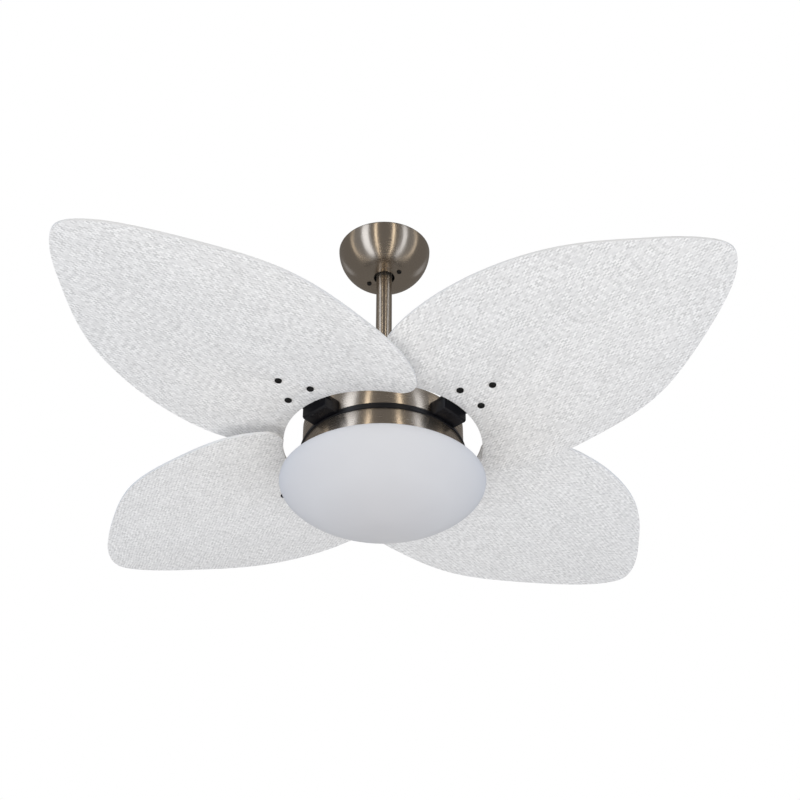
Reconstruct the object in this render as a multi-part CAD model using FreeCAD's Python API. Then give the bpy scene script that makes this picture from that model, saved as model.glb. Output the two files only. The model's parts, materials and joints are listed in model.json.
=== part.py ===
import FreeCAD, Part
import math
import os

# A four-blade ceiling fan with a light, hung from a ceiling bracket by a rod.
# Millimetres. The ceiling is the plane z = 0, the fan's axis is Z and everything hangs below.

os.makedirs("parts", exist_ok=True)
V = FreeCAD.Vector

# Fits shared by all pieces
seat_clearance = 0.05
running_clearance = 0.05
body_gap = 0.3
hole_clearance = 0.2
cut_overrun = 5.0

# Levels and angles of the blades
blade_drop = 340.0
blade_count = 4
blade_first_angle = 46.2
blade_pitch = 3.55
blade_rise = 3.55

# Blade boards: a petal outline from the lower edge's root, round the tip, to the higher edge's root
blade_reach = 538.0
blade_half_width = 171.0
blade_thickness = 3.2
blade_root_gap = 25.0
blade_corner_radius = 20.0
petal_edge_shares = [
    (0.112, 0.528), (0.138, 0.749), (0.198, 0.877), (0.384, 0.978), (0.597, 0.928), (0.764, 0.694),
    (0.890, 0.450), (0.971, 0.232), (1.000, 0.051), (0.971, -0.139), (0.878, -0.411), (0.737, -0.728),
    (0.572, -0.917), (0.396, -0.956), (0.252, -0.833), (0.189, -0.656), (0.144, -0.437),
]

# Screws that hold a blade to its holder, in the blade's own radial and sideways directions
inner_screw_inset = 22.0
inner_screw_side = 20.0
screw_row_step = 36.0
blade_screw_radius = 2.0
blade_screw_head_radius = 4.6
blade_screw_head_height = 2.2

# Blade holders
arm_width = 40.0
arm_height = 14.0
arm_end_gap = 4.0
arm_setback = 5.0
foot_length = 18.0
foot_height = 6.0
tongue_thickness = 4.0
tongue_overlap = 16.0
tongue_margin = 11.0
holder_screw_inset = 8.0
holder_screw_side = 15.0
holder_screw_radius = 2.0
holder_screw_head_radius = 3.8
holder_screw_head_height = 2.8
holder_screw_grip = 4.0
notch_clearance = 0.5
arm_chamfer = 2.0

# Turning flange, decorative band and motor cover
flange_drop = 0.5
flange_thickness = 5.5
band_radius = 105.0
band_wall = 1.5
band_height = 30.0
cover_wall = 2.0
cover_rim_gap = 0.1
cover_rim_height = 20.0
cover_height = 42.5
skirt_wall = 8.0
housing_screw_count = 4
housing_screw_radius = 2.0
housing_screw_head_radius = 3.6
housing_screw_head_height = 2.4
housing_screw_grip = 12.0
housing_head_recess = 0.4

# Ball bearings and their seats
bearing_bore_radius = 7.5
bearing_outer_radius = 17.5
bearing_width = 11.0
race_wall = 2.3
ball_radius = 2.4
ball_count = 8
bearing_lip = 1.5
bearing_lip_radius = 12.0
bearing_boss_wall = 4.5

# Motor inside the cover
shaft_step_radius = 10.0
shaft_bore_radius = 4.5
motor_inset = 47.0
stator_height = 18.0
stator_lift = 9.5
air_gap = 0.6
rotor_core_wall = 11.4
slot_count = 12
tooth_tip = 4.0
slot_depth = 12.0
slot_width = 9.0
slot_insulation = 0.3
coil_head_height = 6.0

# Rod, coupling and hanger
rod_radius = 11.0
rod_wall = 1.5
rod_top_drop = 10.0
coupling_wall = 4.0
coupling_lift = 5.0
coupling_web = 3.0
shaft_socket_depth = 20.0
rod_socket_depth = 24.0
coupling_bolt_radius = 3.0
coupling_bolt_flats = 10.0
coupling_bolt_head_height = 4.0
coupling_nut_height = 5.0
coupling_bolt_spare = 2.0
shaft_pin_radius = 2.5
hanger_bolt_radius = 4.0
hanger_bolt_flats = 13.0
hanger_bolt_head_height = 5.5
hanger_nut_height = 6.5
hanger_bolt_spare = 3.0
hanger_bolt_drop = 24.0
bush_radius = 7.0

# Ceiling bracket
bracket_length = 96.0
bracket_width = 34.0
bracket_sheet = 3.0
bracket_hole_spacing = 76.0
bracket_hole_radius = 3.25
cable_hole_radius = 5.0
cable_hole_offset = 21.0
cheek_gap = 24.0
cheek_width = 26.0
cheek_end_margin = 12.0
ear_sheet = 2.5
ear_width = 6.4
ear_screw_x = 21.0
ear_screw_y = 13.0
ear_foot_margin = 3.2
terminal_length = 24.0
terminal_width = 10.0
terminal_height = 12.0
terminal_offset = 21.5
terminal_way_count = 3
terminal_way_radius = 2.2

# Canopy
canopy_radius = 64.5
canopy_height = 48.0
canopy_flat_radius = 30.0
canopy_wall = 1.2
canopy_hole_radius = 14.5
canopy_screw_radius = 1.75
canopy_screw_head_radius = 3.2
canopy_screw_head_height = 1.4
canopy_screw_spare = 1.5
canopy_fullness_share = 0.60

# Light kit
running_gap = 1.0
plate_lip = 3.0
light_plate_thickness = 2.6
shaft_nut_flats = 24.0
shaft_nut_height = 8.0
shaft_end_spare = 3.4
pan_lip = 1.5
pan_wall = 1.2
pan_height = 36.0
pan_hole_radius = 20.0
pan_screw_count = 3
pan_screw_first_angle = 90
pan_screw_circle = 60.0
pan_screw_radius = 2.0
pan_screw_head_radius = 3.6
pan_screw_head_height = 2.4
lamp_count = 2
lamp_axis_drop = 37.0
lamp_bracket_sheet = 1.5
lamp_bracket_width = 24.0
lamp_bracket_reach = 17.0
lamp_bracket_pad = 18.0
lamp_bracket_below = 15.0
lampholder_radius = 17.0
lampholder_length = 28.0
lampholder_socket_depth = 20.0
nipple_radius = 5.0
nipple_length = 7.0
lampholder_nut_flats = 14.0
lampholder_nut_height = 3.5
lamp_cap_radius = 13.2
lamp_cap_length = 24.5
lamp_globe_radius = 20.0
lamp_globe_wall = 0.8
lamp_neck_radius = 10.5

# Opal bowl
bowl_overhang = 25.0
bowl_depth = 60.0
bowl_wall = 3.0
bowl_neck_inset = 8.5
bowl_neck_height = 14.0
bowl_seat_lip = 1.5
bowl_shoulder = 6.0
bowl_fullness_share = 0.38
gasket_thickness = 0.8
gasket_width = 7.0
clip_count = 3
clip_width = 14.0
clip_sheet = 1.0
clip_height = 18.0
clip_lift = 6.0
clip_first_angle = 30

# Reaches worked out from the sizes above, all from the band
blade_root_radius = band_radius + blade_root_gap
inner_screw_reach = blade_root_radius + inner_screw_inset
outer_screw_reach = inner_screw_reach + screw_row_step
foot_step = band_radius - arm_setback
foot_reach = foot_step - foot_length
holder_screw_reach = foot_step - holder_screw_inset
tongue_root_reach = blade_root_radius - tongue_overlap
stator_radius = band_radius - motor_inset
cover_shoulder_radius = stator_radius
slot_outer_radius = stator_radius - tooth_tip
slot_inner_radius = slot_outer_radius - slot_depth
skirt_inner_radius = stator_radius + air_gap + rotor_core_wall + seat_clearance
skirt_outer_radius = skirt_inner_radius + skirt_wall
band_inner_radius = band_radius - band_wall
light_plate_radius = band_radius + plate_lip
pan_radius = band_radius + pan_lip
bowl_neck_radius = pan_radius - bowl_neck_inset
bowl_seat_radius = pan_radius + bowl_seat_lip
bowl_radius = bowl_seat_radius + bowl_overhang

# Levels worked out from the sizes above
blade_z = -blade_drop
flange_top = blade_z - flange_drop
flange_bottom = flange_top - flange_thickness
band_top = flange_top + band_height
cover_top = flange_top + cover_height
cover_rim = flange_top + cover_rim_height
lower_bearing_z = flange_bottom + bearing_lip
upper_bearing_z = cover_top - bearing_lip - bearing_width
stator_bottom = flange_top + stator_lift
stator_top = stator_bottom + stator_height
plate_top = flange_bottom - running_gap
plate_bottom = plate_top - light_plate_thickness
pan_under = plate_bottom - pan_wall
pan_bottom = plate_bottom - pan_height
bowl_seat = pan_bottom - gasket_thickness - body_gap
bowl_waist = bowl_seat - bowl_shoulder
bowl_bottom = bowl_waist - bowl_depth
lamp_axis = plate_bottom - lamp_axis_drop
coupling_bottom = cover_top + coupling_lift
shaft_top = coupling_bottom + shaft_socket_depth
rod_bottom = shaft_top + coupling_web
coupling_top = rod_bottom + rod_socket_depth
rod_top = -rod_top_drop
hanger_z = -hanger_bolt_drop
canopy_bottom = -canopy_height
canopy_floor = canopy_bottom + canopy_wall
ROUND_WEIGHT_SHARE = math.sqrt(0.5)


# Building blocks

def cylinder(radius, low, high, x=0, y=0):
    return Part.makeCylinder(radius, high - low, V(x, y, low))


def tube(outer, inner, low, high):
    return cylinder(outer, low, high).cut(drill(inner, low, high))


def drill(radius, low, high, x=0, y=0):
    return cylinder(radius, low - cut_overrun, high + cut_overrun, x, y)


def bar_along_x(radius, low, high, y, z):
    return Part.makeCylinder(radius, high - low, V(low, y, z), V(1, 0, 0))


def bar_along_y(radius, low, high, x, z):
    return Part.makeCylinder(radius, high - low, V(x, low, z), V(0, 1, 0))


def block(x_low, x_high, y_low, y_high, z_low, z_high):
    return Part.makeBox(x_high - x_low, y_high - y_low, z_high - z_low, V(x_low, y_low, z_low))


def prism(points, low, high):
    corners = [V(x, y, low) for x, y in points]
    return Part.Face(Part.makePolygon(corners + corners[:1])).extrude(V(0, 0, high - low))


def hexagon(flats, low, high):
    corner = flats / math.sqrt(3)
    turns = [math.radians(60 * side) for side in range(6)]
    return prism([(corner * math.cos(turn), corner * math.sin(turn)) for turn in turns], low, high)


def line(start, end):
    return Part.LineSegment(V(*start, 0), V(*end, 0)).toShape()


def rounded(start, corner, end, weight):
    # A conic from start to end, tangent there to the lines through corner.
    curve = Part.BezierCurve()
    curve.setPoles([V(*start, 0), V(*corner, 0), V(*end, 0)])
    curve.setWeight(2, weight)
    return curve.toShape()


def spun(edges):
    # Turns a closed profile of (radius, height) edges about the fan's axis.
    profile = Part.Face(Part.Wire(edges))
    solid = profile.revolve(V(0, 0, 0), V(0, 1, 0), 360)
    solid.rotate(V(0, 0, 0), V(1, 0, 0), 90)
    return solid


def turned(shape, angle):
    copy = shape.copy()
    copy.rotate(V(0, 0, 0), V(0, 0, 1), angle)
    return copy


def moved(shape, x, y, z):
    copy = shape.copy()
    copy.translate(V(x, y, z))
    return copy


def along_x(shape, x, y, z):
    # Lays a shape built on Z along X, with its origin at the given point.
    copy = shape.copy()
    copy.rotate(V(0, 0, 0), V(0, 1, 0), 90)
    return moved(copy, x, y, z)


def along_y(shape, x, y, z):
    # Lays a shape built on Z along Y, with its origin at the given point.
    copy = shape.copy()
    copy.rotate(V(0, 0, 0), V(1, 0, 0), -90)
    return moved(copy, x, y, z)


def flipped(shape):
    copy = shape.copy()
    copy.rotate(V(0, 0, 0), V(1, 0, 0), 180)
    return copy


def spread(shape, count, first=0):
    return [turned(shape, first + 360 / count * number) for number in range(count)]


def cut_all(shape, tools):
    for tool in tools:
        shape = shape.cut(tool)
    return shape


def fused(shapes):
    return shapes[0].fuse(shapes[1:]).removeSplitter()


def screw(radius, grip, head_radius, head_height):
    # The head is below z = 0 and the shank above it.
    head = cylinder(head_radius, -head_height, 0)
    edge = [one for one in head.Edges if one.BoundBox.ZMax < -head_height / 2]
    head = head.makeFillet(min(head_height, head_radius) / 2, edge)
    return fused([head, cylinder(radius, 0, grip)])


def save(name, shape):
    solids = shape if isinstance(shape, list) else [shape]
    parts = [solid for item in solids for solid in item.Solids]
    assert parts and all(part.isValid() for part in parts), name
    Part.makeCompound(parts).exportStep("parts/" + name + ".step")


def blade_angle(number):
    return blade_first_angle + 360 / blade_count * number


def on_blade(shape, number):
    # Puts a shape from the blade's own frame, radial X and sideways Y, at its pitch and rise.
    copy = shape.copy()
    copy.rotate(V(0, 0, 0), V(1, 0, 0), -blade_pitch)
    copy.rotate(V(0, 0, 0), V(0, 1, 0), -blade_rise)
    copy.translate(V(0, 0, blade_z))
    return turned(copy, blade_angle(number))


# Pieces that turn

def blade_screw_places():
    return [(inner_screw_reach, inner_screw_side),
            (inner_screw_reach, -inner_screw_side),
            (outer_screw_reach, 0)]


def blade_board():
    low = -blade_thickness / 2
    high = blade_thickness / 2
    points = [V(blade_reach * along, blade_half_width * side, low) for along, side in petal_edge_shares]
    edge = Part.BSplineCurve()
    edge.interpolate(points)
    outline = Part.Wire([edge.toShape(), Part.LineSegment(points[-1], points[0]).toShape()])
    board = Part.Face(outline).extrude(V(0, 0, blade_thickness))
    board = board.cut(drill(blade_root_radius, low, high))
    board = max(board.Solids, key=lambda solid: solid.Volume)
    upright = [one for one in board.Edges if is_root_corner(one)]
    board = board.makeFillet(blade_corner_radius, upright)
    holes = [drill(blade_screw_radius + hole_clearance, low, high, x, y) for x, y in blade_screw_places()]
    return cut_all(board, holes)


def is_root_corner(edge):
    box = edge.BoundBox
    upright = box.ZLength > blade_thickness / 2 and box.XLength + box.YLength < blade_thickness / 2
    reach = math.hypot(box.Center.x, box.Center.y)
    return upright and reach < blade_root_radius + blade_thickness


def blade_holder():
    # Foot and arm lie flat on the flange and the arm's end hangs past its edge. The tongue lies in the
    # blade's plane, on top of the board.
    half = arm_width / 2
    arm_end = blade_root_radius - arm_end_gap
    arm = block(foot_step, arm_end, -half, half, flange_bottom, flange_top + arm_height)
    lower = [one for one in arm.Edges if one.BoundBox.ZMax < flange_top]
    outer_low = [one for one in lower if one.BoundBox.XMin > foot_step + arm_chamfer]
    arm = arm.makeChamfer(arm_chamfer, outer_low)
    arm = arm.cut(cylinder(band_radius + body_gap, flange_bottom - cut_overrun, flange_top))
    foot = block(foot_reach, foot_step + arm_chamfer, -half, half, flange_top, flange_top + foot_height)
    inner_half = inner_screw_side + tongue_margin
    tongue_low = blade_thickness / 2
    tongue_high = tongue_low + tongue_thickness
    inner_end = inner_screw_reach + tongue_margin
    outer_end = outer_screw_reach + tongue_margin
    tongue = prism([(tongue_root_reach, -half), (inner_end, -inner_half), (outer_end, -tongue_margin),
                    (outer_end, tongue_margin), (inner_end, inner_half), (tongue_root_reach, half)],
                   tongue_low, tongue_high)
    outer_edges = [one for one in tongue.Edges
                   if one.BoundBox.ZLength > tongue_thickness / 2 and one.BoundBox.XMin > inner_screw_reach]
    tongue = tongue.makeFillet(tongue_margin / 2, outer_edges)
    bore = blade_screw_radius + seat_clearance
    holes = [drill(bore, tongue_low, tongue_high, x, y) for x, y in blade_screw_places()]
    tongue = cut_all(tongue, holes)
    tongue.rotate(V(0, 0, 0), V(1, 0, 0), -blade_pitch)
    tongue.rotate(V(0, 0, 0), V(0, 1, 0), -blade_rise)
    tongue.translate(V(0, 0, blade_z))
    holder = fused([arm, foot, tongue])
    foot_bore = holder_screw_radius + hole_clearance
    foot_holes = [drill(foot_bore, flange_top, flange_top + foot_height, holder_screw_reach, side)
                  for side in (-holder_screw_side, holder_screw_side)]
    return cut_all(holder, foot_holes)


def holder_screw_pair():
    one = flipped(screw(holder_screw_radius, foot_height + holder_screw_grip, holder_screw_head_radius,
                        holder_screw_head_height))
    return [moved(one, holder_screw_reach, side, flange_top + foot_height)
            for side in (-holder_screw_side, holder_screw_side)]


def blade_screw_set():
    grip = blade_thickness + tongue_thickness
    one = screw(blade_screw_radius, grip, blade_screw_head_radius, blade_screw_head_height)
    return [moved(one, x, y, -blade_thickness / 2) for x, y in blade_screw_places()]


def housing_screw_places():
    circle = (skirt_inner_radius + skirt_outer_radius) / 2
    first = blade_first_angle + 180 / blade_count
    return circle, first


def rotor_base():
    boss_radius = bearing_outer_radius + bearing_boss_wall
    bearing_top = lower_bearing_z + bearing_width
    flange = cylinder(band_radius, flange_bottom, flange_top)
    base = fused([flange, cylinder(boss_radius, flange_bottom, bearing_top)])
    seat_radius = bearing_outer_radius + seat_clearance
    base = base.cut(cylinder(seat_radius, lower_bearing_z, bearing_top + cut_overrun))
    base = base.cut(cylinder(bearing_lip_radius, flange_bottom - cut_overrun, bearing_top))
    circle, first = housing_screw_places()
    head_top = flange_bottom + housing_screw_head_height + housing_head_recess
    shank = drill(housing_screw_radius + hole_clearance, flange_bottom, flange_top, circle)
    head = cylinder(housing_screw_head_radius + hole_clearance, flange_bottom - cut_overrun, head_top, circle)
    base = cut_all(base, spread(shank, housing_screw_count, first) + spread(head, housing_screw_count, first))
    bore = holder_screw_radius + seat_clearance
    for side in (-holder_screw_side, holder_screw_side):
        tapped = drill(bore, flange_bottom, flange_top, holder_screw_reach, side)
        base = cut_all(base, spread(tapped, blade_count, blade_first_angle))
    return base


def rotor_ring():
    ring = tube(band_radius, band_inner_radius, flange_top, band_top)
    half = arm_width / 2 + notch_clearance
    notch = block(foot_step, band_radius + cut_overrun, -half, half, flange_top - cut_overrun,
                  flange_top + arm_height + notch_clearance)
    return cut_all(ring, spread(notch, blade_count, blade_first_angle))


def cover_dome(inset):
    rim = band_inner_radius - cover_rim_gap - inset
    top = cover_top - inset
    shoulder = cover_shoulder_radius
    return spun([line((0, cover_rim), (rim, cover_rim)),
                 rounded((rim, cover_rim), (rim, top), (shoulder, top), ROUND_WEIGHT_SHARE),
                 line((shoulder, top), (0, top)),
                 line((0, top), (0, cover_rim))])


def rotor_cover():
    outside = cover_dome(0)
    shell = outside.cut(cover_dome(cover_wall))
    skirt_top = tube(skirt_outer_radius, skirt_inner_radius, cover_rim, cover_top).common(outside)
    skirt = tube(skirt_outer_radius, skirt_inner_radius, flange_top, cover_rim)
    boss = cylinder(bearing_outer_radius + bearing_boss_wall, upper_bearing_z, cover_top)
    cover = fused([shell, skirt_top, skirt, boss])
    seat_radius = bearing_outer_radius + seat_clearance
    cover = cover.cut(cylinder(seat_radius, upper_bearing_z - cut_overrun, cover_top - bearing_lip))
    cover = cover.cut(drill(bearing_lip_radius, upper_bearing_z, cover_top))
    circle, first = housing_screw_places()
    bore = housing_screw_radius + seat_clearance
    tapped = cylinder(bore, flange_top - cut_overrun, flange_top + housing_screw_grip, circle)
    return cut_all(cover, spread(tapped, housing_screw_count, first))


def housing_screws():
    circle, first = housing_screw_places()
    head_top = flange_bottom + housing_screw_head_height + housing_head_recess
    grip = flange_top - head_top + housing_screw_grip - housing_head_recess
    one = screw(housing_screw_radius, grip, housing_screw_head_radius, housing_screw_head_height)
    return spread(moved(one, circle, 0, head_top), housing_screw_count, first)


def rotor_core():
    outer = skirt_inner_radius - seat_clearance
    return tube(outer, stator_radius + air_gap, stator_bottom, stator_top)


# Ball bearings: the inner race sits on the shaft, the outer race and the balls turn with the housing

def ball_circle():
    return (bearing_bore_radius + bearing_outer_radius) / 2


def bearing_outer(low):
    return tube(bearing_outer_radius, bearing_outer_radius - race_wall, low, low + bearing_width)


def bearing_inner(low):
    bore = bearing_bore_radius + seat_clearance
    return tube(bearing_bore_radius + race_wall, bore, low, low + bearing_width)


def bearing_balls(low):
    ball = Part.makeSphere(ball_radius, V(ball_circle(), 0, low + bearing_width / 2))
    return spread(ball, ball_count)


# Pieces that hang on the rod and stay still while the blades turn

def motor_shaft():
    step_low = lower_bearing_z + bearing_width
    low = plate_bottom - shaft_nut_height - shaft_end_spare
    step = cylinder(shaft_step_radius, step_low, upper_bearing_z)
    shaft = fused([cylinder(bearing_bore_radius, low, shaft_top), step])
    shaft = shaft.cut(drill(shaft_bore_radius, low, shaft_top))
    pin_hole = bar_along_x(shaft_pin_radius + seat_clearance, -rod_radius, rod_radius, 0, shaft_pin_z())
    return shaft.cut(pin_hole)


def shaft_pin_z():
    return coupling_bottom + shaft_socket_depth / 2


def coupling_bolt_z():
    return rod_bottom + rod_socket_depth / 2


def coupling_radius():
    return rod_radius + coupling_wall


def shaft_spacer():
    outer = bearing_bore_radius + race_wall
    return tube(outer, bearing_bore_radius + seat_clearance, plate_top, lower_bearing_z)


def shaft_nut():
    low = plate_bottom - shaft_nut_height
    nut = hexagon(shaft_nut_flats, low, plate_bottom)
    return nut.cut(drill(bearing_bore_radius + seat_clearance, low, plate_bottom))


def stator_slots(radial_gap, side_gap, low, high):
    half = slot_width / 2 - side_gap
    slot = block(slot_inner_radius + radial_gap, slot_outer_radius - radial_gap, -half, half, low, high)
    return spread(slot, slot_count)


def stator_core():
    core = tube(stator_radius, shaft_step_radius + seat_clearance, stator_bottom, stator_top)
    return cut_all(core, stator_slots(0, 0, stator_bottom - cut_overrun, stator_top + cut_overrun))


def stator_winding():
    outer = slot_outer_radius - slot_insulation
    inner = slot_inner_radius + slot_insulation
    heads = [tube(outer, inner, stator_top, stator_top + coil_head_height),
             tube(outer, inner, stator_bottom - coil_head_height, stator_bottom)]
    bars = stator_slots(slot_insulation, slot_insulation, stator_bottom, stator_top)
    return fused(heads + bars)


def rod_coupling():
    coupling = cylinder(coupling_radius(), coupling_bottom, coupling_top)
    shaft_socket = bearing_bore_radius + seat_clearance
    coupling = coupling.cut(cylinder(shaft_socket, coupling_bottom - cut_overrun, shaft_top))
    coupling = coupling.cut(cylinder(shaft_bore_radius, coupling_bottom, coupling_top))
    coupling = coupling.cut(cylinder(rod_radius + seat_clearance, rod_bottom, coupling_top + cut_overrun))
    reach = coupling_radius() + cut_overrun
    bolt_hole = bar_along_x(coupling_bolt_radius + hole_clearance, -reach, reach, 0, coupling_bolt_z())
    pin_hole = bar_along_x(shaft_pin_radius + seat_clearance, -reach, reach, 0, shaft_pin_z())
    coupling = cut_all(coupling, [bolt_hole, pin_hole])
    flat_face = coupling_flat()
    for side in (0, 180):
        trim = block(flat_face, reach, -reach, reach, rod_bottom, coupling_top + cut_overrun)
        coupling = coupling.cut(turned(trim, side))
    return coupling


def coupling_flat():
    # Two flats on the coupling, where the bolt head and the nut bear.
    return coupling_radius() - coupling_wall / 4


def coupling_bolt():
    head = hexagon(coupling_bolt_flats, -coupling_bolt_head_height, 0)
    shank = cylinder(coupling_bolt_radius, 0, 2 * coupling_flat() + coupling_nut_height + coupling_bolt_spare)
    return along_x(fused([head, shank]), -coupling_flat(), 0, coupling_bolt_z())


def coupling_nut():
    nut = hexagon(coupling_bolt_flats, 0, coupling_nut_height)
    nut = nut.cut(drill(coupling_bolt_radius + seat_clearance, 0, coupling_nut_height))
    return along_x(nut, coupling_flat(), 0, coupling_bolt_z())


def shaft_pin():
    return bar_along_x(shaft_pin_radius, -coupling_radius(), coupling_radius(), 0, shaft_pin_z())


def downrod():
    rod = tube(rod_radius, rod_radius - rod_wall, rod_bottom, rod_top)
    reach = rod_radius + cut_overrun
    bush_hole = bar_along_y(bush_radius + seat_clearance, -reach, reach, 0, hanger_z)
    bolt_hole = bar_along_x(coupling_bolt_radius + hole_clearance, -reach, reach, 0, coupling_bolt_z())
    return cut_all(rod, [bush_hole, bolt_hole])


def rubber_bush():
    half = cheek_gap / 2 - body_gap
    bush = bar_along_y(bush_radius, -half, half, 0, hanger_z)
    reach = half + cut_overrun
    return bush.cut(bar_along_y(hanger_bolt_radius + running_clearance, -reach, reach, 0, hanger_z))


def light_plate():
    plate = tube(light_plate_radius, bearing_bore_radius + seat_clearance, plate_bottom, plate_top)
    tapped = drill(pan_screw_radius + seat_clearance, plate_bottom, plate_top, pan_screw_circle)
    return cut_all(plate, spread(tapped, pan_screw_count, pan_screw_first_angle))


def light_pan():
    pan = cylinder(pan_radius, pan_bottom, plate_bottom)
    pan = pan.cut(cylinder(pan_radius - pan_wall, pan_bottom - cut_overrun, pan_under))
    pan = pan.cut(drill(pan_hole_radius, pan_under, plate_bottom))
    hole = drill(pan_screw_radius + hole_clearance, pan_under, plate_bottom, pan_screw_circle)
    pan = cut_all(pan, spread(hole, pan_screw_count, pan_screw_first_angle))
    tapped = drill(pan_screw_radius + seat_clearance, pan_under, plate_bottom, lamp_screw_reach())
    return cut_all(pan, spread(tapped, lamp_count))


def lamp_screw_reach():
    return lamp_bracket_reach + lamp_bracket_pad / 2


def pan_screws():
    grip = pan_wall + light_plate_thickness
    one = screw(pan_screw_radius, grip, pan_screw_head_radius, pan_screw_head_height)
    return spread(moved(one, pan_screw_circle, 0, pan_under), pan_screw_count, pan_screw_first_angle)


def bracket_screws():
    grip = lamp_bracket_sheet + pan_wall
    one = screw(pan_screw_radius, grip, pan_screw_head_radius, pan_screw_head_height)
    return spread(moved(one, lamp_screw_reach(), 0, pan_under - lamp_bracket_sheet), lamp_count)


# The lamps lie along X, one each way from the axis

def lamp_bracket():
    half = lamp_bracket_width / 2
    reach = lamp_bracket_reach
    pad = block(reach, reach + lamp_bracket_pad, -half, half, pan_under - lamp_bracket_sheet, pan_under)
    leg = block(reach, reach + lamp_bracket_sheet, -half, half, lamp_axis - lamp_bracket_below, pan_under)
    hole = drill(pan_screw_radius + hole_clearance, pan_under, pan_under, lamp_screw_reach())
    nipple_hole = bar_along_x(nipple_radius + hole_clearance, 0, reach + cut_overrun, 0, lamp_axis)
    return cut_all(fused([pad, leg]), [hole, nipple_hole])


def lampholder_start():
    return lamp_bracket_reach + lamp_bracket_sheet


def lampholder_end():
    return lampholder_start() + lampholder_length


def lampholder():
    start = lampholder_start()
    shell = bar_along_x(lampholder_radius, start, lampholder_end(), 0, lamp_axis)
    socket = bar_along_x(lamp_cap_radius + seat_clearance, lampholder_end() - lampholder_socket_depth,
                         lampholder_end() + cut_overrun, 0, lamp_axis)
    nipple = bar_along_x(nipple_radius, start - nipple_length, start + cut_overrun, 0, lamp_axis)
    return fused([shell, nipple]).cut(socket)


def lampholder_nut():
    nut = hexagon(lampholder_nut_flats, -lampholder_nut_height, 0)
    nut = nut.cut(drill(nipple_radius + seat_clearance, -lampholder_nut_height, 0))
    return along_x(nut, lamp_bracket_reach, 0, lamp_axis)


def lamp_cap_start():
    return lampholder_end() - lampholder_socket_depth


def lamp_cap():
    start = lamp_cap_start()
    return bar_along_x(lamp_cap_radius, start, start + lamp_cap_length, 0, lamp_axis)


def lamp_globe():
    # A thin ball, cut open where it stands on the metal cap.
    foot = lamp_cap_start() + lamp_cap_length
    centre = foot + math.sqrt(lamp_globe_radius ** 2 - lamp_neck_radius ** 2)
    ball = Part.makeSphere(lamp_globe_radius, V(centre, 0, lamp_axis))
    ball = ball.cut(Part.makeSphere(lamp_globe_radius - lamp_globe_wall, V(centre, 0, lamp_axis)))
    side = lamp_globe_radius
    return ball.cut(block(foot - side, foot, -side, side, lamp_axis - side, lamp_axis + side))


def bowl_clips():
    outer = pan_radius - pan_wall - seat_clearance
    lip_inner = bowl_neck_radius + body_gap
    low = pan_bottom + clip_lift
    half = clip_width / 2
    back = tube(outer, outer - clip_sheet, low, low + clip_height)
    lip = tube(outer, lip_inner, low, low + clip_sheet)
    window = block(0, pan_radius, -half, half, pan_bottom, plate_bottom)
    return spread(fused([back, lip]).common(window), clip_count, clip_first_angle)


# The bowl and its gasket drop together for a lamp change

def glass_bowl():
    top = pan_bottom + bowl_neck_height
    neck = bowl_neck_radius
    edge = bowl_radius
    inner_neck = neck - bowl_wall
    inner_edge = edge - bowl_wall
    under_seat = bowl_seat - bowl_wall
    seat = bowl_seat_radius
    floor = bowl_bottom + bowl_wall
    return spun([line((neck, top), (neck, bowl_seat)),
                 line((neck, bowl_seat), (seat, bowl_seat)),
                 rounded((seat, bowl_seat), (edge, bowl_seat), (edge, bowl_waist), ROUND_WEIGHT_SHARE),
                 rounded((edge, bowl_waist), (edge, bowl_bottom), (0, bowl_bottom), bowl_fullness_share),
                 line((0, bowl_bottom), (0, floor)),
                 rounded((0, floor), (inner_edge, floor), (inner_edge, bowl_waist), bowl_fullness_share),
                 rounded((inner_edge, bowl_waist), (inner_edge, under_seat), (seat, under_seat),
                         ROUND_WEIGHT_SHARE),
                 line((seat, under_seat), (inner_neck, under_seat)),
                 line((inner_neck, under_seat), (inner_neck, top)),
                 line((inner_neck, top), (neck, top))])


def bowl_gasket():
    inner = bowl_neck_radius + seat_clearance
    return tube(inner + gasket_width, inner, bowl_seat, bowl_seat + gasket_thickness)


# Pieces fixed to the ceiling

def ceiling_bracket():
    half_length = bracket_length / 2
    half_width = bracket_width / 2
    plate = block(-half_length, half_length, -half_width, half_width, -bracket_sheet, 0)
    cheek_inner = cheek_gap / 2
    cheek_low = hanger_z - cheek_end_margin
    half_cheek = cheek_width / 2
    cheek = block(-half_cheek, half_cheek, cheek_inner, cheek_inner + bracket_sheet, cheek_low, 0)
    ear_low = ear_screw_y - ear_width / 2
    ear_high = ear_screw_y + ear_width / 2
    leg = block(-half_cheek - ear_sheet, -half_cheek, ear_low, ear_high, canopy_floor, 0)
    foot = block(-ear_screw_x - ear_foot_margin, -half_cheek, ear_low, ear_high, canopy_floor,
                 canopy_floor + ear_sheet)
    bracket = fused([plate, cheek, turned(cheek, 180), leg, turned(leg, 180), foot, turned(foot, 180)])
    reach = cheek_inner + bracket_sheet + cut_overrun
    bolt_hole = bar_along_y(hanger_bolt_radius + hole_clearance, -reach, reach, 0, hanger_z)
    fixing = drill(bracket_hole_radius, -bracket_sheet, 0, bracket_hole_spacing / 2)
    cable = drill(cable_hole_radius, -bracket_sheet, 0, -cable_hole_offset)
    bore = canopy_screw_radius + seat_clearance
    tapped = drill(bore, canopy_floor, canopy_floor + ear_sheet, -ear_screw_x, ear_screw_y)
    return cut_all(bracket, [bolt_hole, fixing, turned(fixing, 180), cable, tapped, turned(tapped, 180)])


def hanger_bolt():
    head = hexagon(hanger_bolt_flats, -hanger_bolt_head_height, 0)
    grip = cheek_gap + 2 * bracket_sheet
    shank = cylinder(hanger_bolt_radius, 0, grip + hanger_nut_height + hanger_bolt_spare)
    return along_y(fused([head, shank]), 0, -grip / 2, hanger_z)


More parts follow.
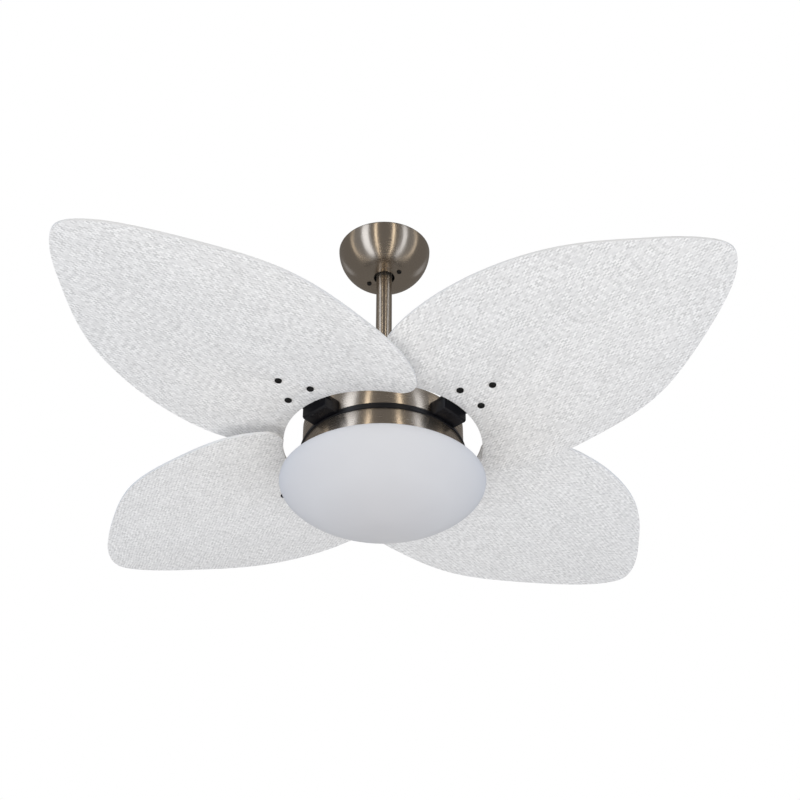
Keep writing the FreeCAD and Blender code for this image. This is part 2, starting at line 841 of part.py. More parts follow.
def hanger_nut():
    nut = hexagon(hanger_bolt_flats, 0, hanger_nut_height)
    nut = nut.cut(drill(hanger_bolt_radius + seat_clearance, 0, hanger_nut_height))
    return along_y(nut, 0, cheek_gap / 2 + bracket_sheet, hanger_z)


def terminal_block():
    half = terminal_length / 2
    near = terminal_offset - terminal_width / 2
    far = terminal_offset + terminal_width / 2
    body = block(near, far, -half, half, -bracket_sheet - terminal_height, -bracket_sheet)
    step = terminal_length / terminal_way_count
    middle = -bracket_sheet - terminal_height / 2
    for way in range(terminal_way_count):
        y = -half + step * (way + 1 / 2)
        body = body.cut(bar_along_x(terminal_way_radius, near - cut_overrun, far + cut_overrun, y, middle))
    return body


def canopy():
    radius = canopy_radius
    flat = canopy_flat_radius
    hole = canopy_hole_radius
    inner = radius - canopy_wall
    cup = spun([line((radius, 0), (inner, 0)),
                rounded((inner, 0), (inner, canopy_floor), (flat, canopy_floor), canopy_fullness_share),
                line((flat, canopy_floor), (hole, canopy_floor)),
                line((hole, canopy_floor), (hole, canopy_bottom)),
                line((hole, canopy_bottom), (flat, canopy_bottom)),
                rounded((flat, canopy_bottom), (radius, canopy_bottom), (radius, 0), canopy_fullness_share)])
    bore = canopy_screw_radius + hole_clearance
    screw_hole = drill(bore, canopy_bottom, canopy_floor, -ear_screw_x, ear_screw_y)
    return cut_all(cup, [screw_hole, turned(screw_hole, 180)])


def canopy_screws():
    grip = canopy_wall + ear_sheet + canopy_screw_spare
    one = screw(canopy_screw_radius, grip, canopy_screw_head_radius, canopy_screw_head_height)
    placed = moved(one, -ear_screw_x, ear_screw_y, canopy_bottom)
    return [placed, turned(placed, 180)]


def save_turning_pieces():
    board = blade_board()
    holder = blade_holder()
    for number in range(blade_count):
        save("blade_%d" % (number + 1), on_blade(board, number))
        save("blade_holder_%d" % (number + 1), turned(holder, blade_angle(number)))
    numbers = range(blade_count)
    save("blade_screws", [on_blade(one, number) for number in numbers for one in blade_screw_set()])
    pairs = [turned(one, blade_angle(number)) for number in numbers for one in holder_screw_pair()]
    save("holder_screws", pairs)
    save("rotor_base", rotor_base())
    save("rotor_ring", rotor_ring())
    save("rotor_cover", rotor_cover())
    save("rotor_core", rotor_core())
    save("housing_screws", housing_screws())


def save_bearings():
    for name, low in (("lower", lower_bearing_z), ("upper", upper_bearing_z)):
        save(name + "_bearing_outer", bearing_outer(low))
        save(name + "_bearing_inner", bearing_inner(low))
        save(name + "_bearing_balls", bearing_balls(low))


def save_hanging_pieces():
    for make in (motor_shaft, shaft_spacer, shaft_nut, stator_core, stator_winding, rod_coupling,
                 coupling_bolt, coupling_nut, shaft_pin, downrod, rubber_bush, light_plate, light_pan,
                 pan_screws, bracket_screws, bowl_clips, glass_bowl, bowl_gasket):
        save(make.__name__, make())


def save_lamps():
    for make in (lamp_bracket, lampholder, lamp_cap, lamp_globe):
        for number, copy in enumerate(spread(make(), lamp_count)):
            save("%s_%d" % (make.__name__, number + 1), copy)
    save("lampholder_nuts", spread(lampholder_nut(), lamp_count))


def save_ceiling_pieces():
    for make in (ceiling_bracket, hanger_bolt, hanger_nut, terminal_block, canopy, canopy_screws):
        save(make.__name__, make())


save_turning_pieces()
save_bearings()
save_hanging_pieces()
save_lamps()
save_ceiling_pieces()
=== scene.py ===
import bmesh
import bpy
import json
import math
from mathutils import Matrix, Vector


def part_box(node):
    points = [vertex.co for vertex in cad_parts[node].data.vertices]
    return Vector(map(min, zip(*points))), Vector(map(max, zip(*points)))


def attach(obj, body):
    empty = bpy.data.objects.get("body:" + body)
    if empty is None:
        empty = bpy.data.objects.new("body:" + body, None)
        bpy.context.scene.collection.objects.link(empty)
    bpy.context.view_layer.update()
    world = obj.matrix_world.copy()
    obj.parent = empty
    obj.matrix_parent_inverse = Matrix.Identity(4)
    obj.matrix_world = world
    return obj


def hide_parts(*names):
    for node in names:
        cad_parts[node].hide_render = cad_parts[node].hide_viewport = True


# The finish of a four-blade ceiling fan with an opal bowl light, in metres, ceiling at z = 0.

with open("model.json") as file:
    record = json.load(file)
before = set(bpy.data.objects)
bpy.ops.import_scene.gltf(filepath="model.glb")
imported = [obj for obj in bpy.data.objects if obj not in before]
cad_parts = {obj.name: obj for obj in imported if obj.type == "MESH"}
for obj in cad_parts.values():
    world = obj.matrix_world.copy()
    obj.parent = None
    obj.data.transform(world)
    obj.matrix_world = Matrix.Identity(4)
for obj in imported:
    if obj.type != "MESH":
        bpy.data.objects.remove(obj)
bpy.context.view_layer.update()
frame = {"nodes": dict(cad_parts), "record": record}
nodes = frame["nodes"]
slot_of = {row["node"]: row["material_slot"] for row in frame["record"]["subparts"]}
body_of = {node: body for body, members in frame["record"]["behaviour"]["bodies"].items() for node in members}


# Shader building blocks

def add(tree, kind, **settings):
    made = tree.nodes.new(kind)
    for key, value in settings.items():
        setattr(made, key, value)
    return made


def feed(tree, socket, value):
    # Links another node's output to a socket, or sets the socket to a constant.
    if isinstance(value, bpy.types.NodeSocket):
        tree.links.new(value, socket)
    else:
        socket.default_value = value


def set_inputs(made, values):
    for label, value in values.items():
        made.inputs[label].default_value = value


def maths(tree, operation, *values):
    made = add(tree, "ShaderNodeMath", operation=operation)
    for socket, value in zip(made.inputs, values):
        feed(tree, socket, value)
    return made.outputs[0]


def noise(tree, place, scale, detail, output="Fac"):
    made = add(tree, "ShaderNodeTexNoise")
    feed(tree, made.inputs["Vector"], place)
    feed(tree, made.inputs["Scale"], scale)
    made.inputs["Detail"].default_value = detail
    return made.outputs[output]


def scaled(tree, vector, amount):
    # Multiplies a colour or a place by a number.
    made = add(tree, "ShaderNodeVectorMath", operation="SCALE")
    feed(tree, made.inputs[0], vector)
    feed(tree, made.inputs["Scale"], amount)
    return made.outputs[0]


def split(tree, vector):
    made = add(tree, "ShaderNodeSeparateXYZ")
    feed(tree, made.inputs[0], vector)
    return made.outputs


def joined(tree, *values):
    made = add(tree, "ShaderNodeCombineXYZ")
    for socket, value in zip(made.inputs, values):
        feed(tree, socket, value)
    return made.outputs[0]


def object_place(tree):
    return add(tree, "ShaderNodeTexCoord").outputs["Object"]


def new_group(name, inputs, outputs):
    group = bpy.data.node_groups.new(name, "ShaderNodeTree")
    for label, kind in inputs:
        group.interface.new_socket(label, in_out="INPUT", socket_type="NodeSocket" + kind)
    for label, kind in outputs:
        group.interface.new_socket(label, in_out="OUTPUT", socket_type="NodeSocket" + kind)
    return group, group.nodes.new("NodeGroupInput").outputs, group.nodes.new("NodeGroupOutput").inputs


# Finish patterns, as shader groups that give colour, roughness and height

FINISH_INPUTS = [
    ("Place", "Vector"), ("Fineness", "Float"), ("Tone", "Color"), ("Spread", "Float"),
    ("Gloss", "Float"), ("Gloss Spread", "Float"),
]
FINISH_OUTPUTS = [("Colour", "Color"), ("Roughness", "Float"), ("Height", "Float")]

# Detail of the noise in each pattern
GRAIN_DETAIL = 4.0
LINE_DETAIL = 3.0
BROAD_DETAIL = 2.0
WANDER_DETAIL = 1.0

# Fineness of the broad blotches, as a share of the fine pattern's
GRAIN_BLOTCH = 0.06
TURNED_BLOTCH = 0.02

# Length that a radian of turn counts for, so that the turned lines run far round
TURN_LENGTH = 0.004

# Weave: waviness of the rows, length and slant of the floats, and what makes a float bright: painted light on
# raised floats, and chance
WANDER_SCALE = 32.0
WANDER_REACH = 0.005
FLOAT_RATE = 0.42
TWILL_SLANT = 0.42
ROW_SHUFFLE = 0.6
RAISED_FLOAT_LIGHT = 0.45
CHANCE_SHARE = 0.55
CANE_BLOTCH_SCALE = 22.0
CANE_BLOTCH_SPAN = 0.2
CANE_BLOTCH_LOW = 0.4


def finish_outputs(tree, given, fine, broad, out):
    # Colour and roughness wander about their set values with a fine and a broad pattern,
    # each from 0 to 1.
    both = maths(tree, "SUBTRACT", maths(tree, "ADD", fine, broad), 1.0)
    tone = maths(tree, "MULTIPLY_ADD", both, given["Spread"], 1.0)
    feed(tree, out["Colour"], scaled(tree, given["Tone"], tone))
    feed(tree, out["Roughness"], maths(tree, "MULTIPLY_ADD", both, given["Gloss Spread"], given["Gloss"]))
    feed(tree, out["Height"], fine)


def grain_group():
    # Fine grain with broad soft blotches, for paint, plating, rubber, porcelain and plastic.
    tree, given, out = new_group("fine_grain", FINISH_INPUTS, FINISH_OUTPUTS)
    fine = noise(tree, given["Place"], given["Fineness"], GRAIN_DETAIL)
    coarse = maths(tree, "MULTIPLY", given["Fineness"], GRAIN_BLOTCH)
    broad = noise(tree, given["Place"], coarse, BROAD_DETAIL)
    finish_outputs(tree, given, fine, broad, out)
    return tree


def turned_group():
    # Fine lines round the fan's axis, as a lathe or a belt leaves them.
    tree, given, out = new_group("turned_lines", FINISH_INPUTS, FINISH_OUTPUTS)
    x, y, z = split(tree, given["Place"])
    squares = maths(tree, "ADD", maths(tree, "MULTIPLY", x, x), maths(tree, "MULTIPLY", y, y))
    radius = maths(tree, "SQRT", squares)
    turn = maths(tree, "MULTIPLY", maths(tree, "ARCTAN2", y, x), TURN_LENGTH)
    fine = noise(tree, joined(tree, radius, z, turn), given["Fineness"], LINE_DETAIL)
    coarse = maths(tree, "MULTIPLY", given["Fineness"], TURNED_BLOTCH)
    broad = noise(tree, given["Place"], coarse, BROAD_DETAIL)
    finish_outputs(tree, given, fine, broad, out)
    return tree


def weave_group():
    # A woven cane face: short wavy floats along the board in a slight twill, from a UV map in metres.
    # Each float has its own brightness, and Fineness is the number of rows in a metre.
    tree, given, out = new_group("cane_weave", FINISH_INPUTS, FINISH_OUTPUTS)
    wander = noise(tree, given["Place"], WANDER_SCALE, WANDER_DETAIL, "Color")
    shifted = add(tree, "ShaderNodeVectorMath", operation="ADD")
    feed(tree, shifted.inputs[0], given["Place"])
    feed(tree, shifted.inputs[1], scaled(tree, wander, WANDER_REACH))
    u, v, _ = split(tree, scaled(tree, shifted.outputs[0], given["Fineness"]))
    length = maths(tree, "MULTIPLY", u, FLOAT_RATE)
    row = maths(tree, "FLOOR", maths(tree, "MULTIPLY_ADD", length, TWILL_SLANT, v))
    shuffle = add(tree, "ShaderNodeTexWhiteNoise", noise_dimensions="1D")
    feed(tree, shuffle.inputs["W"], row)
    shuffled = maths(tree, "MULTIPLY_ADD", shuffle.outputs["Value"], ROW_SHUFFLE, length)
    column = maths(tree, "FLOOR", shuffled)
    chance = add(tree, "ShaderNodeTexWhiteNoise", noise_dimensions="2D")
    feed(tree, chance.inputs["Vector"], joined(tree, column, row))
    # Every second float lies over its neighbours and gets painted light, as if it caught more of it than the
    # floats beside it.
    parity = maths(tree, "FLOORED_MODULO", maths(tree, "ADD", column, row), 2.0)
    over = maths(tree, "LESS_THAN", parity, 1.0)
    by_chance = maths(tree, "MULTIPLY", chance.outputs["Value"], CHANCE_SHARE)
    fleck = maths(tree, "MULTIPLY_ADD", over, RAISED_FLOAT_LIGHT, by_chance)
    blotch = noise(tree, given["Place"], CANE_BLOTCH_SCALE, BROAD_DETAIL)
    broad = maths(tree, "MULTIPLY_ADD", blotch, CANE_BLOTCH_SPAN, CANE_BLOTCH_LOW)
    finish_outputs(tree, given, fleck, broad, out)
    return tree


GRAIN = grain_group()
TURNED = turned_group()
WEAVE = weave_group()


# Materials

# The UV map on the boards that the weave follows
BOARD_MAP = "board"

# Pattern, fineness, tone, spread of tone, roughness, spread of roughness, relief and share of metal
FINISHES = {
    "brushed_nickel": (TURNED, 1500.0, (0.52, 0.455, 0.385), 0.06, 0.27, 0.02, 0.0000001, 1.0),
    "black_enamel": (GRAIN, 900.0, (0.006, 0.006, 0.0075), 0.35, 0.30, 0.12, 0.00002, 0.0),
    "black_screw": (GRAIN, 1500.0, (0.005, 0.005, 0.005), 0.3, 0.36, 0.12, 0.00002, 0.0),
    "zinc_steel": (GRAIN, 420.0, (0.58, 0.59, 0.60), 0.14, 0.33, 0.14, 0.00001, 1.0),
    "bearing_steel": (TURNED, 2600.0, (0.60, 0.61, 0.63), 0.1, 0.2, 0.08, 0.000004, 1.0),
    "motor_iron": (TURNED, 1900.0, (0.22, 0.22, 0.23), 0.35, 0.45, 0.15, 0.00006, 0.8),
    "copper_wire": (TURNED, 900.0, (0.62, 0.26, 0.11), 0.45, 0.32, 0.15, 0.0002, 0.9),
    "cane_board": (WEAVE, 450.0, (0.765, 0.758, 0.748), 0.40, 0.66, 0.08, 0.00011, 0.0),
    "lamp_glass": (GRAIN, 300.0, (0.90, 0.89, 0.86), 0.03, 0.22, 0.06, 0.000005, 0.0),
    "lamp_metal": (GRAIN, 500.0, (0.72, 0.72, 0.71), 0.1, 0.26, 0.1, 0.00001, 1.0),
    "porcelain": (GRAIN, 260.0, (0.86, 0.85, 0.81), 0.05, 0.16, 0.06, 0.00001, 0.0),
    "terminal_plastic": (GRAIN, 700.0, (0.78, 0.78, 0.74), 0.06, 0.42, 0.1, 0.00003, 0.0),
    "soft_rubber": (GRAIN, 900.0, (0.02, 0.02, 0.02), 0.3, 0.7, 0.12, 0.00004, 0.0),
    "cane_edge": (GRAIN, 800.0, (0.77, 0.765, 0.75), 0.1, 0.6, 0.1, 0.00004, 0.0),
    # Near black: painted shade inside the canopy's hollow
    "canopy_inside_shade": (GRAIN, 500.0, (0.018, 0.017, 0.016), 0.2, 0.6, 0.1, 0.00002, 0.0),
}

# Finishes that reflect less than plain paint does
SPECULAR_LEVELS = {"black_enamel": 0.3, "black_screw": 0.3, "cane_board": 0.2}

# Stretch of the reflections across the brushed lines, and its turn, as a share of a full circle
BRUSH_STRETCH = 0.9
BRUSH_TURN = 0.25

# Opal glass with painted shade: darker tone at the bottom, paler tone higher up where light falls, and where
# that begins, as a share of the height
OPAL_SHADED_BOTTOM = (0.580, 0.575, 0.588)
OPAL_LIT_TOP = (0.640, 0.640, 0.655)
LIT_TOP_HEIGHT = 0.28
OPAL_SPECULAR = 0.25

# Faint clouds in the glass: span and lowest value of what they do to the tone and the roughness
CLOUD_SCALE = 30.0
CLOUD_TONE = (0.03, 0.985)
CLOUD_GLOSS = (0.06, 0.45)


def shader_of(material):
    return material.node_tree.nodes["Principled BSDF"]


def new_material(name):
    made = bpy.data.materials.new(name)
    made.use_nodes = True
    return made, made.node_tree, shader_of(made)


def pattern_place(tree, group):
    # The weave lies on the board's own map. The other patterns lie in the fan's own space.
    if group == WEAVE:
        return add(tree, "ShaderNodeUVMap", uv_map=BOARD_MAP).outputs["UV"]
    return object_place(tree)


def finished(name, group, fineness, tone, spread, gloss, gloss_spread, relief, metallic):
    # A material whose colour, roughness and relief come from one of the finish groups.
    made, tree, shader = new_material(name)
    shader.inputs["Metallic"].default_value = metallic
    effect = add(tree, "ShaderNodeGroup", node_tree=group)
    feed(tree, effect.inputs["Place"], pattern_place(tree, group))
    set_inputs(effect, {
        "Fineness": fineness, "Tone": (*tone, 1.0), "Spread": spread,
        "Gloss": gloss, "Gloss Spread": gloss_spread,
    })
    feed(tree, shader.inputs["Base Color"], effect.outputs["Colour"])
    feed(tree, shader.inputs["Roughness"], effect.outputs["Roughness"])
    bump = add(tree, "ShaderNodeBump")
    bump.inputs["Distance"].default_value = relief
    feed(tree, bump.inputs["Height"], effect.outputs["Height"])
    feed(tree, shader.inputs["Normal"], bump.outputs["Normal"])
    return made


def brush_round(material):
    # Reflections spread along the axis, as on metal brushed round it.
    shader = shader_of(material)
    set_inputs(shader, {"Anisotropic": BRUSH_STRETCH, "Anisotropic Rotation": BRUSH_TURN})
    tangent = add(material.node_tree, "ShaderNodeTangent", direction_type="RADIAL", axis="Z")
    feed(material.node_tree, shader.inputs["Tangent"], tangent.outputs[0])


def opal_glass():
    # Painted shade on the opal glass: greyer towards the bottom of the bowl and paler higher up, as if more
    # light fell there.
    made, tree, shader = new_material("opal_glass")
    low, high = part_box("glass_bowl")
    height = add(tree, "ShaderNodeMapRange")
    feed(tree, height.inputs["Value"], split(tree, object_place(tree))[2])
    set_inputs(height, {"From Min": low.z, "From Max": high.z})
    ramp = add(tree, "ShaderNodeValToRGB")
    # The ramp's stops: painted shade at the bottom, painted light higher up.
    bottom, pale = ramp.color_ramp.elements
    bottom.color = (*OPAL_SHADED_BOTTOM, 1.0)
    pale.color = (*OPAL_LIT_TOP, 1.0)
    pale.position = LIT_TOP_HEIGHT
    feed(tree, ramp.inputs["Fac"], height.outputs[0])
    cloud = noise(tree, object_place(tree), CLOUD_SCALE, BROAD_DETAIL)
    tone = maths(tree, "MULTIPLY_ADD", cloud, *CLOUD_TONE)
    feed(tree, shader.inputs["Base Color"], scaled(tree, ramp.outputs["Color"], tone))
    feed(tree, shader.inputs["Roughness"], maths(tree, "MULTIPLY_ADD", cloud, *CLOUD_GLOSS))
    shader.inputs["Specular IOR Level"].default_value = OPAL_SPECULAR
    return made


MATERIALS = {name: finished(name, *values) for name, values in FINISHES.items()}
MATERIALS["opal_glass"] = opal_glass()
brush_round(MATERIALS["brushed_nickel"])
for name, level in SPECULAR_LEVELS.items():
    shader_of(MATERIALS[name]).inputs["Specular IOR Level"].default_value = level


# Pieces

# Blade angles and tilts, as the boards are hung
BLADE_COUNT = 4
BLADE_FIRST_ANGLE = math.radians(46.2)
BLADE_PITCH = math.radians(3.55)
BLADE_RISE = math.radians(3.55)
BLADE_HEIGHT = -0.340

# Welding and smoothing of the CAD's triangles
MERGE_GAP = 0.000002
FLAT_ANGLE = math.radians(1.0)
SHARP_ANGLE = math.radians(32.0)

# Rounded edges: how many steps the rounding has, and how wide it is on each piece
EDGE_SEGMENTS = 2
WIDE_EDGE_SEGMENTS = 3
BLADE_EDGE = 0.0010
HOLDER_EDGE = 0.0012
CANOPY_EDGE = 0.0005
BOWL_EDGE = 0.0010
EDGE_WIDTHS = {
    "downrod": 0.0004, "rotor_ring": 0.0004, "light_pan": 0.0004, "light_plate": 0.0005,
    "rotor_base": 0.0005, "rotor_cover": 0.0006, "rod_coupling": 0.0006,
    "ceiling_bracket": 0.0005, "coupling_bolt": 0.0004, "coupling_nut": 0.0004, "terminal_block": 0.0005,
    "lampholder_1": 0.0008, "lampholder_2": 0.0008,
}

# A face looks along a direction when its normal's share in that direction is over this
FACING = 0.9

# A face of the canopy is an inner one when its normal rises more, or leans out less, than this
INNER_RISE = 0.02
INNER_LEAN = -0.0005

# A screw's head is a face with more corners than this
HEAD_CORNERS = 12

# Screws with driving sockets: rounding of the edges, and inset and depth of the socket
SOCKETS = {"blade_screws": (0.0003, 0.0022, 0.0011), "canopy_screws": (0.0002, 0.0015, 0.0007)}

# Rolled threads of the lamps
LAMP_COUNT = 2
THREAD_PITCH = 0.0036
THREAD_DEPTH = 0.0009
THREAD_CUTS = 48


def new_object(name, data):
    made = bpy.data.objects.new(name, data)
    bpy.context.scene.collection.objects.link(made)
    return made


def show(name, shape, materials, node):
    # Makes the finished piece that stands for a CAD node and moves with its body.
    mesh = bpy.data.meshes.new(name)
    shape.to_mesh(mesh)
    shape.free()
    mesh.shade_smooth()
    mesh.set_sharp_from_angle(angle=SHARP_ANGLE)
    for material in materials:
        mesh.materials.append(MATERIALS[material])
    piece = new_object(name, mesh)
    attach(piece, body_of[node])
    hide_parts(node)
    return piece


def merged_copy(node):
    # The node's own triangles, welded, with the flat faces joined again.
    shape = bmesh.new()
    shape.from_mesh(nodes[node].data)
    bmesh.ops.remove_doubles(shape, verts=shape.verts, dist=MERGE_GAP)
    bmesh.ops.dissolve_limit(shape, angle_limit=FLAT_ANGLE, verts=shape.verts, edges=shape.edges)
    return shape


def round_edges(shape, width, segments=EDGE_SEGMENTS):
    sharp = [edge for edge in shape.edges
             if edge.is_manifold and edge.calc_face_angle() > SHARP_ANGLE]
    bmesh.ops.bevel(shape, geom=sharp, offset=width, offset_type="OFFSET", segments=segments, profile=0.5,
                    affect="EDGES", clamp_overlap=True, material=-1)


def blade_frame(number):
    # From the blade's own frame, along and across the board, to the fan's.
    turn = Matrix.Rotation(BLADE_FIRST_ANGLE + 2 * math.pi / BLADE_COUNT * number, 4, "Z")
    rise = Matrix.Rotation(-BLADE_RISE, 4, "Y")
    pitch = Matrix.Rotation(-BLADE_PITCH, 4, "X")
    return turn @ Matrix.Translation((0, 0, BLADE_HEIGHT)) @ rise @ pitch


def woven_blade(number):
    # A board with the weave on its two wide faces, mapped along and across it, and a plain edge.
    node = "blade_%d" % (number + 1)
    to_fan = blade_frame(number)
    to_board = to_fan.inverted()
    through = to_fan.to_3x3() @ Vector((0, 0, 1))
    shape = merged_copy(node)
    round_edges(shape, BLADE_EDGE, WIDE_EDGE_SEGMENTS)
    board_map = shape.loops.layers.uv.new(BOARD_MAP)
    for face in shape.faces:
        face.material_index = 0 if abs(face.normal.dot(through)) > FACING else 1
        for corner in face.loops:
            corner[board_map].uv = (to_board @ corner.vert.co).xy
    return show(node + "_woven", shape, ["cane_board", "cane_edge"], node)


def rounded_piece(node, width, segments=EDGE_SEGMENTS):
    shape = merged_copy(node)
    round_edges(shape, width, segments)
    return show(node + "_finished", shape, [slot_of[node]], node)


def canopy_cup():
    # The canopy's inner faces are near black: painted shade of its hollow, which the ceiling keeps dark.
    shape = merged_copy("canopy")
    round_edges(shape, CANOPY_EDGE)
    for face in shape.faces:
        lean = face.calc_center_median().xy.dot(face.normal.xy)
        face.material_index = 1 if face.normal.z > INNER_RISE or lean < INNER_LEAN else 0
    return show("canopy_cup", shape, ["brushed_nickel", "canopy_inside_shade"], "canopy")


def recessed_screws(node, edge, socket_inset, socket_depth):
    # Screws whose heads, which look down, have a round driving socket.
    shape = merged_copy(node)
    heads = [face for face in shape.faces
             if face.normal.z < -FACING and len(face.verts) > HEAD_CORNERS]
    bmesh.ops.inset_individual(shape, faces=heads, thickness=socket_inset, depth=-socket_depth)
    round_edges(shape, edge)
    return show(node + "_finished", shape, [slot_of[node]], node)


def threaded_cap(node):
    # A rolled screw thread round the lamp's metal cap, cut inwards from the plain cap.
    low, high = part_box(node)
    axis = (low + high) / 2
    half = (high.x - low.x) / 2
    shape = merged_copy(node)
    along = [edge for edge in shape.edges if abs(edge.verts[0].co.x - edge.verts[1].co.x) > half]
    bmesh.ops.subdivide_edges(shape, edges=along, cuts=THREAD_CUTS, use_grid_fill=True)
    for vert in shape.verts:
        if low.x + MERGE_GAP < vert.co.x < high.x - MERGE_GAP:
            out = Vector((0, vert.co.y - axis.y, vert.co.z - axis.z))
            turns = (vert.co.x - low.x) / THREAD_PITCH + math.atan2(out.z, out.y) / (2 * math.pi)
            vert.co -= out.normalized() * THREAD_DEPTH * (1 - math.cos(2 * math.pi * turns)) / 2
    return show(node + "_threaded", shape, [slot_of[node]], node)


# The CAD's own pieces take their slot's material. Those made again below are hidden.
for node, piece in nodes.items():
    piece.data.materials.clear()
    piece.data.materials.append(MATERIALS[slot_of[node]])

for number in range(BLADE_COUNT):
    board = woven_blade(number)
    # The boards cast no shade on the metal and don't show in it, so its streaks stay whole.
    board.visible_glossy = False
    board.visible_shadow = False
for number in range(BLADE_COUNT):
    rounded_piece("blade_holder_%d" % (number + 1), HOLDER_EDGE, WIDE_EDGE_SEGMENTS)
canopy_cup()
for node, width in EDGE_WIDTHS.items():
    rounded_piece(node, width)
bowl = rounded_piece("glass_bowl", BOWL_EDGE)
# Opal glass lets the light through to the boards.
bowl.visible_shadow = False
for node, sizes in SOCKETS.items():
    recessed_screws(node, *sizes)
for number in range(LAMP_COUNT):
    threaded_cap("lamp_cap_%d" % (number + 1))


# Stage, light and camera

# Light from all round, and what the camera sees behind the fan
ROOM_LIGHT = (0.215, 0.205, 0.195)
BACKDROP = (1.0, 1.0, 1.0)

# Floor and patch of ceiling; the patch's near-black paint is painted shade.
# PATCH_LIGHT is the share of light that the patch lets through.
MATT = 0.9
FLOOR_HEIGHT = -3.2
FLOOR_RADIUS = 400.0
FLOOR_CORNERS = 96
FLOOR_PAINT = (0.05, 0.05, 0.05)
FLOOR_GLOW = (0.84, 0.845, 0.85)
PATCH_HEIGHT = 0.0003
PATCH_RADIUS = 0.0643
PATCH_CORNERS = 64
PATCH_PAINTED_SHADE = (0.02, 0.02, 0.02)
PATCH_LIGHT = 0.25

# Upright strip lights that draw the streaks on the turned metal: compass angle from the viewer's side
# in degrees, width, brightness and colour
WHITE = (0.80, 0.88, 1.0)
PEACH = (1.0, 0.89, 0.72)
STRIPS = [
    (-46.0, 0.74, 1.75, WHITE),
    (49.0, 0.46, 1.4, WHITE),
    (-20.4, 0.22, 2.3, PEACH),
    (21.4, 0.22, 2.3, PEACH),
    (-82.0, 0.28, 0.8, PEACH),
    (79.0, 0.28, 0.8, PEACH),
    (-56.0, 2.3, 0.12, WHITE),
    (58.0, 2.3, 0.12, WHITE),
    (135.0, 0.60, 0.34, WHITE),
    (-135.0, 0.50, 0.34, WHITE),
    (178.0, 0.12, 0.8, PEACH),
]
STRIP_REACH = 2.6
FRONT_ANGLE = 90.0
FRONT_SPAN = (-7.0, 2.4)
BACK_SPAN = (-0.7, 0.7)

# Wide soft lights round the fan, seen by matt surfaces only: place, side, brightness and colour
NEUTRAL = (1.0, 1.0, 1.0)
BLUISH = (0.55, 0.72, 1.0)
FILLS = [
    ((0, -1.0, -2.9), 7.0, 0.96, NEUTRAL),
    ((0, -3.5, -0.4), 5.0, 0.66, NEUTRAL),
    ((0, 3.5, -0.4), 5.0, 0.68, NEUTRAL),
    ((-3.5, 0, -0.4), 5.0, 0.92, BLUISH),
    ((3.5, 0, -0.4), 5.0, 0.92, BLUISH),
    ((0, 0, 2.4), 6.0, 0.75, NEUTRAL),
]

# The photograph's camera: below and in front of the fan, looking up. Lens and sensor are in millimetres.
CAMERA_PLACE = (0.0, -1.6894, -1.4815)
CAMERA_AIM = math.radians(35.850)
CAMERA_YAW = math.radians(0.756)
CAMERA_LENS = 70.31
SENSOR_WIDTH = 36.0


def studio_world():
    # White to the camera, and a dim warm grey for light and reflections.
    world = bpy.data.worlds.new("studio")
    bpy.context.scene.world = world
    world.use_nodes = True
    tree = world.node_tree
    tree.nodes.clear()
    light = add(tree, "ShaderNodeBackground")
    light.inputs["Color"].default_value = (*ROOM_LIGHT, 1.0)
    seen = add(tree, "ShaderNodeBackground")
    seen.inputs["Color"].default_value = (*BACKDROP, 1.0)
    mix = add(tree, "ShaderNodeMixShader")
    feed(tree, mix.inputs["Fac"], add(tree, "ShaderNodeLightPath").outputs["Is Camera Ray"])
    feed(tree, mix.inputs[1], light.outputs[0])
    feed(tree, mix.inputs[2], seen.outputs[0])
    feed(tree, add(tree, "ShaderNodeOutputWorld").inputs["Surface"], mix.outputs[0])


def level_disc(name, corners, radius, height, material):
    shape = bmesh.new()
    bmesh.ops.create_circle(shape, cap_ends=True, segments=corners, radius=radius)
    bmesh.ops.translate(shape, verts=shape.verts, vec=(0, 0, height))
    mesh = bpy.data.meshes.new(name)
    shape.to_mesh(mesh)
    shape.free()
    mesh.materials.append(material)
    return new_object(name, mesh)


def ceiling_patch():
    # A near-black patch of ceiling in the canopy's mouth, seen from below only: painted shade for the
    # canopy's hollow.
    # It lets some light in, for views from above.
    material, tree, shader = new_material("ceiling_shade")
    set_inputs(shader, {"Base Color": (*PATCH_PAINTED_SHADE, 1.0), "Roughness": MATT})
    below = add(tree, "ShaderNodeNewGeometry").outputs["Backfacing"]
    seen = add(tree, "ShaderNodeLightPath").outputs["Is Camera Ray"]
    dense = maths(tree, "MULTIPLY_ADD", seen, PATCH_LIGHT, 1.0 - PATCH_LIGHT)
    feed(tree, shader.inputs["Alpha"], maths(tree, "MULTIPLY", below, dense))
    patch = level_disc("ceiling_patch", PATCH_CORNERS, PATCH_RADIUS, PATCH_HEIGHT, material)


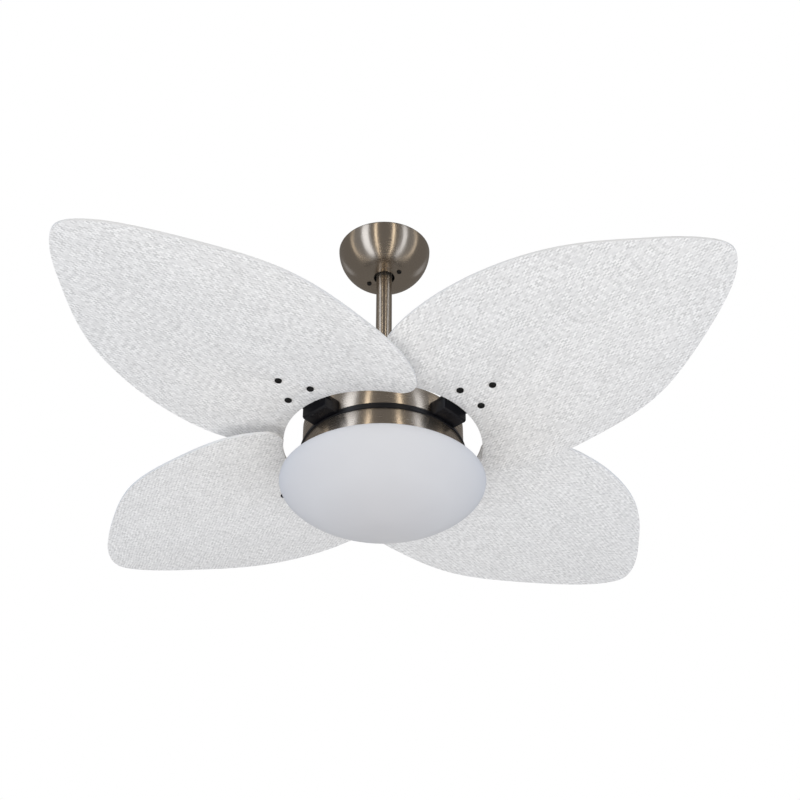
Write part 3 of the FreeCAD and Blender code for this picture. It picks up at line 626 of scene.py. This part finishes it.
def pale_floor():
    # A plain pale floor far below, evenly bright in views from above. It gives no light to the fan.
    material, _, shader = new_material("floor_paint")
    set_inputs(shader, {
        "Base Color": (*FLOOR_PAINT, 1.0), "Roughness": MATT, "Specular IOR Level": 0.0,
        "Emission Color": (*FLOOR_GLOW, 1.0), "Emission Strength": 1.0,
    })
    floor = level_disc("pale_floor", FLOOR_CORNERS, FLOOR_RADIUS, FLOOR_HEIGHT, material)
    floor.visible_diffuse = False
    floor.visible_glossy = False
    floor.visible_shadow = False


def area_light(name, place, target, width, height, radiance, colour):
    data = bpy.data.lights.new(name, "AREA")
    data.shape = "RECTANGLE"
    data.size = width
    data.size_y = height
    data.energy = radiance * math.pi * width * height
    data.color = colour
    light = new_object(name, data)
    light.location = place
    light.rotation_euler = (Vector(target) - Vector(place)).to_track_quat("-Z", "Y").to_euler()
    light.visible_camera = False
    return light


def strip_lights():
    # Seen in reflections only. Those in front reach far down, so that the streaks run on round
    # the canopy's lower curve.
    for number, (angle, width, radiance, colour) in enumerate(STRIPS, 1):
        turn = math.radians(angle)
        bottom, top = FRONT_SPAN if abs(angle) < FRONT_ANGLE else BACK_SPAN
        height = (bottom + top) / 2
        place = (STRIP_REACH * math.sin(turn), -STRIP_REACH * math.cos(turn), height)
        target = (0, 0, height)
        strip = area_light("strip_%d" % number, place, target, width, top - bottom, radiance, colour)
        strip.visible_diffuse = False


def fill_lights():
    for number, (place, side, radiance, colour) in enumerate(FILLS, 1):
        target = (0, 0, BLADE_HEIGHT)
        fill = area_light("fill_%d" % number, place, target, side, side, radiance, colour)
        fill.visible_glossy = False


def photo_camera():
    data = bpy.data.cameras.new("camera")
    data.lens = CAMERA_LENS
    data.sensor_width = SENSOR_WIDTH
    camera = new_object("camera", data)
    camera.location = CAMERA_PLACE
    level = math.cos(CAMERA_AIM)
    forward = Vector((math.sin(CAMERA_YAW) * level, math.cos(CAMERA_YAW) * level, math.sin(CAMERA_AIM)))
    camera.rotation_euler = forward.to_track_quat("-Z", "Y").to_euler()
    bpy.context.scene.camera = camera


studio_world()
ceiling_patch()
pale_floor()
strip_lights()
fill_lights()
photo_camera()
bpy.context.scene.view_settings.view_transform = "Standard"
